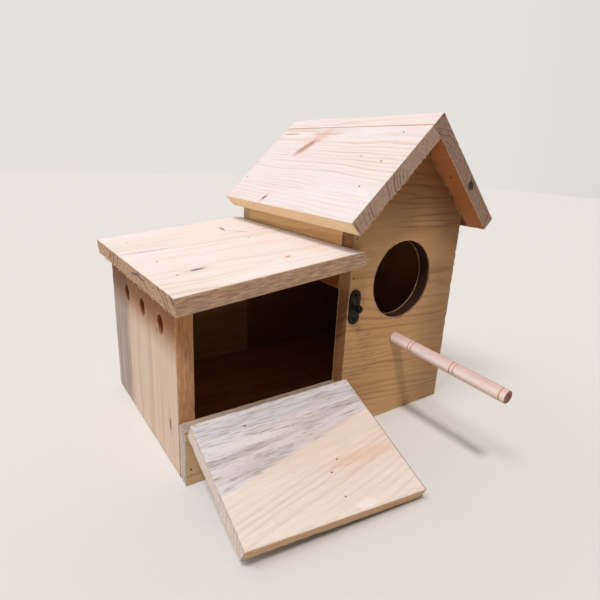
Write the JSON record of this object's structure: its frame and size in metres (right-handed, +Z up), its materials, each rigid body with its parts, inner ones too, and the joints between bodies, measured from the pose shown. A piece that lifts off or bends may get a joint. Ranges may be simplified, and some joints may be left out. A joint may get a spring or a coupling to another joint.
{
  "type": "nest box",
  "caption": "Wooden nest box with a gabled tower, round entrance hole and perch, and a lower side box with vents and a drop-down front door standing open.",
  "frame": {"origin": "on the ground under the middle of the base, which is the floor board's underside", "axes": "+Z up, the front with the entrance hole faces -Y, +X runs along the front from the side box to the tower"},
  "size_m": [0.279, 0.2821, 0.248],
  "materials": {
    "wall_boards": "rough sawn pine, unfinished",
    "roof_boards": "rough sawn pine, unfinished",
    "floor_boards": "rough sawn pine, unfinished",
    "box_boards": "rough sawn pine, unfinished",
    "door_board": "rough sawn pine, unfinished",
    "perch_wood": "turned dowel, unfinished",
    "bronze": "dark antique bronze"
  },
  "bodies": {
    "nest_box": {"front_wall": "wall_boards", "back_wall": "wall_boards", "right_wall": "wall_boards", "upper_left_wall": "wall_boards", "roof_slab_left": "roof_boards", "roof_slab_right": "roof_boards", "floor_board": "floor_boards", "box_left_wall": "box_boards", "box_back_wall": "box_boards", "box_roof": "roof_boards", "front_sill": "box_boards", "hinge_left_sill_leaf": "bronze", "hinge_right_sill_leaf": "bronze", "hinge_left_pin": "bronze", "hinge_right_pin": "bronze", "hinge_left_sill_screw_1": "bronze", "hinge_left_sill_screw_2": "bronze", "hinge_right_sill_screw_1": "bronze", "hinge_right_sill_screw_2": "bronze", "perch": "perch_wood", "catch_plate": "bronze", "catch_post": "bronze", "catch_screw_upper": "bronze", "catch_screw_lower": "bronze"},
    "door": {"door_panel": "door_board", "hinge_left_door_leaf": "bronze", "hinge_right_door_leaf": "bronze", "hinge_left_door_screw_1": "bronze", "hinge_left_door_screw_2": "bronze", "hinge_right_door_screw_1": "bronze", "hinge_right_door_screw_2": "bronze"}
  },
  "joints": [
    {"name": "door_hinge", "type": "hinge", "parent": "nest_box", "child": "door", "pos_m": [0, -0.0855, 0.0406], "axis": [-1, 0, 0], "range_deg": [0, 115.56]}
  ]
}
